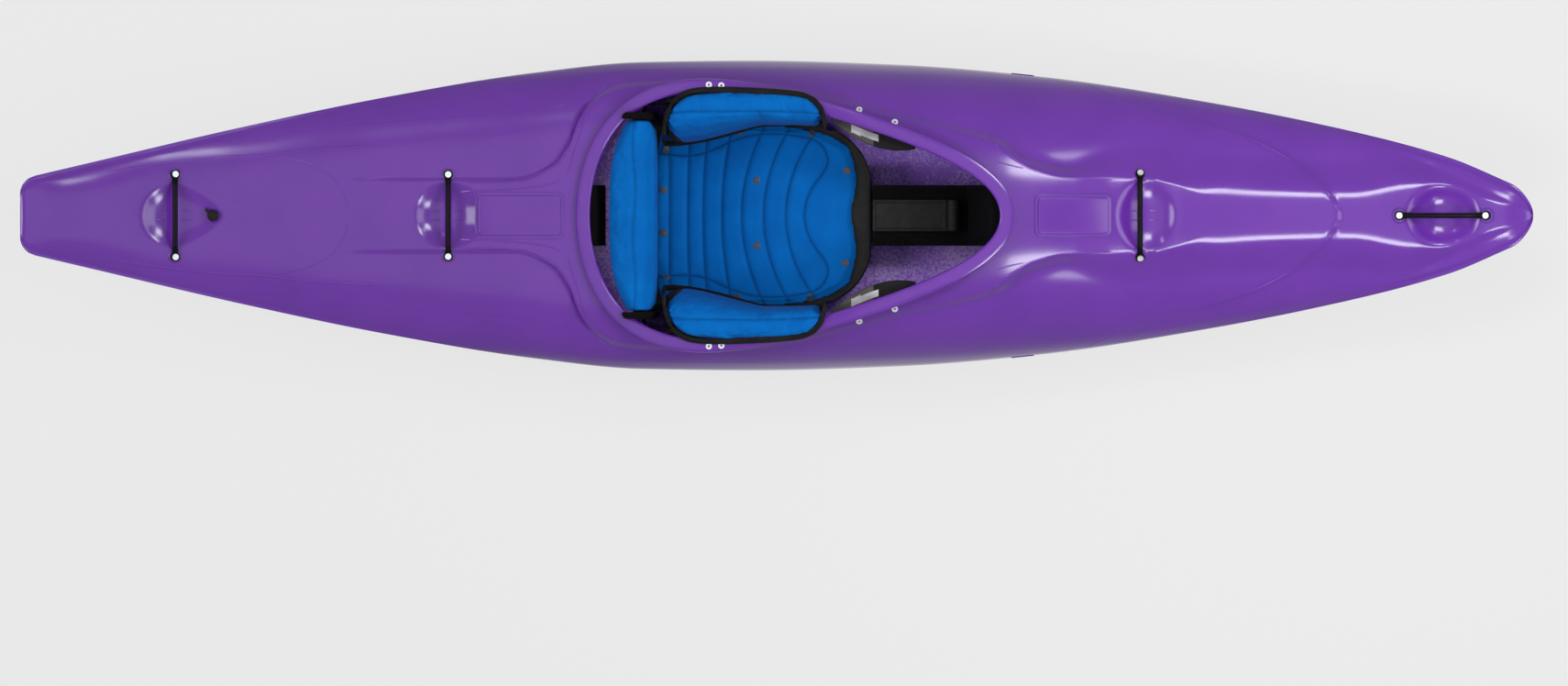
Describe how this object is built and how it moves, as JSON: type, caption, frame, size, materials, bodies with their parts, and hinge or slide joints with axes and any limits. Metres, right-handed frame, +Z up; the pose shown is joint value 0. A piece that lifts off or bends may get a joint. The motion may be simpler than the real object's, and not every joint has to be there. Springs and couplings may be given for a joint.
{
  "type": "whitewater kayak",
  "caption": "River-running kayak with a planing bottom, a long thin stern, an open cockpit with a rim, padded outfitting, grab loops and a drain plug.",
  "frame": {"origin": "on the centre plane under the middle of the hull's length, at the flat bottom's plane", "axes": "+X to the bow, +Y to the paddler's left, +Z up"},
  "size_m": [3.15, 0.6446, 0.4],
  "materials": {
    "hull_plastic": "rotomoulded polyethylene, semi-gloss",
    "strap": "moulded grab loop, fine matt grain",
    "moulding": "black moulded plastic, light grain",
    "foam": "closed-cell foam, cut faces",
    "brace_cloth": "grey ribbed cloth over foam",
    "cloth": "blue quilted cloth with black binding",
    "plug_rubber": "black rubber",
    "rail_aluminium": "satin, mill finish",
    "bolt_steel": "stainless, button head"
  },
  "bodies": {
    "hull": {"hull_shell": "hull_plastic", "stern_loop": "strap", "rear_loop": "strap", "front_loop": "strap", "bow_loop": "strap", "stern_loop_bolt_left": "bolt_steel", "stern_loop_bolt_right": "bolt_steel", "rear_loop_bolt_left": "bolt_steel", "rear_loop_bolt_right": "bolt_steel", "front_loop_bolt_left": "bolt_steel", "front_loop_bolt_right": "bolt_steel", "bow_loop_bolt_rear": "bolt_steel", "bow_loop_bolt_front": "bolt_steel", "rim_bolt_left_rear": "bolt_steel", "rim_bolt_left_front": "bolt_steel", "rim_bolt_right_rear": "bolt_steel", "rim_bolt_right_front": "bolt_steel", "brace_bolt_left_rear": "bolt_steel", "brace_bolt_left_front": "bolt_steel", "brace_bolt_right_rear": "bolt_steel", "brace_bolt_right_front": "bolt_steel", "drain_seat": "moulding", "front_pillar": "foam", "rear_pillar": "foam", "console": "moulding", "seat_pan": "moulding", "seat_cover": "cloth", "hip_pad_left": "cloth", "hip_pad_right": "cloth", "backband_pivot_left": "bolt_steel", "backband_pivot_right": "bolt_steel", "foot_sleeve_left": "moulding", "foot_sleeve_right": "moulding", "foot_bolt_left": "bolt_steel", "foot_bolt_right": "bolt_steel"},
    "backband": {"backband_pad": "cloth", "backband_plate": "moulding"},
    "footbrace": {"foot_plate": "moulding", "foot_pad": "foam", "foot_rail_left": "rail_aluminium", "foot_rail_right": "rail_aluminium"},
    "thigh_left": {"thigh_brace_left": "moulding", "thigh_pad_left": "brace_cloth"},
    "thigh_right": {"thigh_brace_right": "moulding", "thigh_pad_right": "brace_cloth"},
    "plug": {"drain_plug": "plug_rubber", "drain_seal": "plug_rubber"}
  },
  "joints": [
    {"name": "backband_tilt", "type": "hinge", "parent": "hull", "child": "backband", "pos_m": [-0.208, 0, 0.16], "axis": [0, 1, 0], "range_deg": [-6, 6]},
    {"name": "footbrace_slide", "type": "slide", "parent": "hull", "child": "footbrace", "axis": [1, 0, 0], "range_m": [-0.05, 0.07]},
    {"name": "thigh_left_slide", "type": "slide", "parent": "hull", "child": "thigh_left", "axis": [1, 0, 0], "range_m": [-0.012, 0.012]},
    {"name": "thigh_right_slide", "type": "slide", "parent": "hull", "child": "thigh_right", "axis": [1, 0, 0], "range_m": [-0.012, 0.012]},
    {"name": "plug_turn", "type": "hinge", "parent": "hull", "child": "plug", "pos_m": [-1.174, 0, 0.28899], "axis": [0.1378, 0, 0.9905], "range_deg": [0, 1080]}
  ]
}
